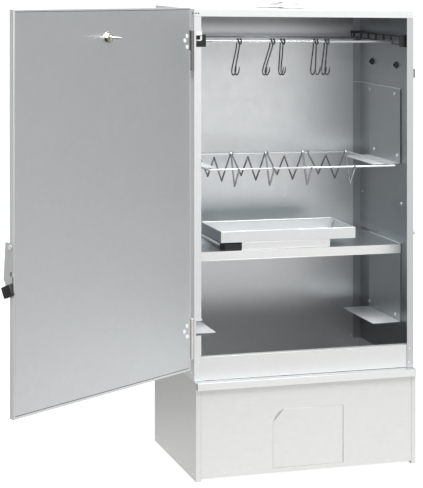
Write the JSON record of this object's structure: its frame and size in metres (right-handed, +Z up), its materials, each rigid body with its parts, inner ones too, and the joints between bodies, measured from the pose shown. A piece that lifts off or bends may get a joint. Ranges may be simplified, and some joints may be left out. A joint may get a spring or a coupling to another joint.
{
  "type": "electric cabinet smoker",
  "caption": "Sheet-metal smoking cabinet on a base box, with a side-hung door and dial thermometer, hanging rods with hooks, a wire rack, a heated shelf with a tray and a base flap.",
  "frame": {"origin": "centre of the underside of the floor pan in the base, 6 mm above the ground that the side panels stand on", "axes": "+Z up, +X to the right along the front, +Y from the front to the back; the door stands open at rest"},
  "size_m": [0.982, 0.6039, 0.9729],
  "materials": {
    "galvanised_sheet": "satin zinc-coated sheet with a faint spangle and fine rolling grain",
    "interior_sheet": "matt zinc-coated sheet, slightly mottled, dull blue-grey",
    "black_paint": "satin black paint on folded sheet",
    "steel_fittings": "bright zinc-plated steel",
    "steel_wire": "plain steel wire, satin",
    "chrome_wire": "bright plated wire",
    "nickel": "nickel plate, warm and smooth",
    "heater_sheath": "dark heat-tinted metal sheath",
    "black_plastic": "fine-textured black moulding",
    "cable": "matt black rubber sheath",
    "handle_grey": "dark grey enamel on flat steel",
    "dial_white": "white printed dial",
    "needle_black": "matt black",
    "glass": "clear flat glass",
    "pan_steel": "plain steel dulled by heat and smoke"
  },
  "bodies": {
    "cabinet": {"floor_pan": "interior_sheet", "base_side_left": "galvanised_sheet", "base_side_right": "galvanised_sheet", "base_front_panel": "galvanised_sheet", "base_back_panel": "galvanised_sheet", "base_ledge": "galvanised_sheet", "hatch_hinge_pin": "steel_wire", "side_wall_left": "galvanised_sheet", "side_wall_right": "galvanised_sheet", "back_wall": "interior_sheet", "roof": "galvanised_sheet", "sill": "galvanised_sheet", "vent_pivot": "steel_fittings", "hinge_upper_cabinet_half": "steel_fittings", "hinge_lower_cabinet_half": "steel_fittings", "hinge_pin_upper": "steel_fittings", "hinge_pin_lower": "steel_fittings", "latch_keeper": "steel_fittings", "hanger_rail_left": "black_paint", "hanger_rail_right": "black_paint", "upper_bracket_left": "interior_sheet", "upper_bracket_right": "interior_sheet", "lower_bracket_left": "interior_sheet", "lower_bracket_right": "interior_sheet", "shelf": "galvanised_sheet", "heater_box": "galvanised_sheet", "heating_element": "heater_sheath", "terminal_block": "black_plastic", "heater_lead": "cable", "control_box": "black_plastic", "power_cord": "cable", "power_plug": "black_plastic", "side_handle_left": "handle_grey", "side_handle_right": "handle_grey"},
    "door": {"door_pan": "galvanised_sheet", "door_inner": "interior_sheet", "hinge_upper_door_half": "steel_fittings", "hinge_lower_door_half": "steel_fittings", "thermometer_case": "nickel", "thermometer_dial": "dial_white", "thermometer_lens": "glass", "thermometer_stem": "nickel", "thermometer_nut": "nickel", "latch_pivot": "steel_fittings"},
    "needle": {"thermometer_needle": "needle_black"},
    "latch": {"latch_lever": "steel_fittings", "latch_grip": "black_plastic"},
    "hatch": {"hatch_flap": "galvanised_sheet"},
    "damper": {"vent_damper": "galvanised_sheet"},
    "front_rod": {"hanging_rod_front": "chrome_wire"},
    "rear_rod": {"hanging_rod_rear": "chrome_wire"},
    "hook_1": {"s_hook_1": "steel_wire"},
    "hook_2": {"s_hook_2": "steel_wire"},
    "hook_3": {"s_hook_3": "steel_wire"},
    "hook_4": {"s_hook_4": "steel_wire"},
    "hook_5": {"s_hook_5": "steel_wire"},
    "rack": {"wire_rack": "chrome_wire"},
    "tray": {"chip_tray": "galvanised_sheet"},
    "ash_pan": {"sawdust_pan": "pan_steel"},
    "knob": {"thermostat_knob": "black_plastic"}
  },
  "joints": [
    {"name": "door_swing", "type": "hinge", "parent": "cabinet", "child": "door", "pos_m": [-0.249, -0.1375, 0.5], "axis": [0, 0, 1], "range_deg": [-42, 148]},
    {"name": "latch_turn", "type": "hinge", "parent": "door", "child": "latch", "pos_m": [-0.67325, -0.39493, 0.529], "axis": [-0.848, -0.5299, 0], "range_deg": [-60, 14]},
    {"name": "thermometer_reading", "type": "hinge", "parent": "door", "child": "needle", "pos_m": [-0.46636, -0.25387, 0.901], "axis": [0.5299, -0.848, 0], "range_deg": [0, 270]},
    {"name": "hatch_swing", "type": "hinge", "parent": "cabinet", "child": "hatch", "pos_m": [0.0765, -0.1476, 0.07], "axis": [0, 0, -1], "range_deg": [-90, 0]},
    {"name": "vent_turn", "type": "hinge", "parent": "cabinet", "child": "damper", "pos_m": [0, 0.012, 0.96], "axis": [0, 0, 1], "range_deg": [-45, 45]},
    {"name": "front_rod_lift", "type": "slide", "parent": "cabinet", "child": "front_rod", "axis": [0, 0, -1], "range_m": [-0.008, 0]},
    {"name": "rear_rod_lift", "type": "slide", "parent": "cabinet", "child": "rear_rod", "axis": [0, 0, -1], "range_m": [-0.008, 0]},
    {"name": "hook_1_swing", "type": "hinge", "parent": "front_rod", "child": "hook_1", "pos_m": [-0.1313, -0.09, 0.8863], "axis": [1, 0, 0], "range_deg": [-30, 30]},
    {"name": "hook_2_swing", "type": "hinge", "parent": "front_rod", "child": "hook_2", "pos_m": [-0.0573, -0.09, 0.8863], "axis": [1, 0, 0], "range_deg": [-30, 30]},
    {"name": "hook_3_swing", "type": "hinge", "parent": "front_rod", "child": "hook_3", "pos_m": [-0.0346, -0.09, 0.8863], "axis": [1, 0, 0], "range_deg": [-30, 30]},
    {"name": "hook_4_swing", "type": "hinge", "parent": "front_rod", "child": "hook_4", "pos_m": [0.0406, -0.09, 0.8863], "axis": [1, 0, 0], "range_deg": [-30, 30]},
    {"name": "hook_5_swing", "type": "hinge", "parent": "front_rod", "child": "hook_5", "pos_m": [0.0657, -0.09, 0.8863], "axis": [1, 0, 0], "range_deg": [-30, 30]},
    {"name": "rack_slide", "type": "slide", "parent": "cabinet", "child": "rack", "axis": [0, 1, 0], "range_m": [-0.25, 0]},
    {"name": "tray_slide", "type": "slide", "parent": "cabinet", "child": "tray", "axis": [0, 1, 0], "range_m": [-0.15, 0]},
    {"name": "ash_pan_lift", "type": "slide", "parent": "cabinet", "child": "ash_pan", "axis": [0, 0, -1], "range_m": [-0.06, 0]},
    {"name": "thermostat_turn", "type": "hinge", "parent": "cabinet", "child": "knob", "pos_m": [-0.15, 0.184, 0.472], "axis": [0, -1, 0], "range_deg": [0, 270]}
  ]
}
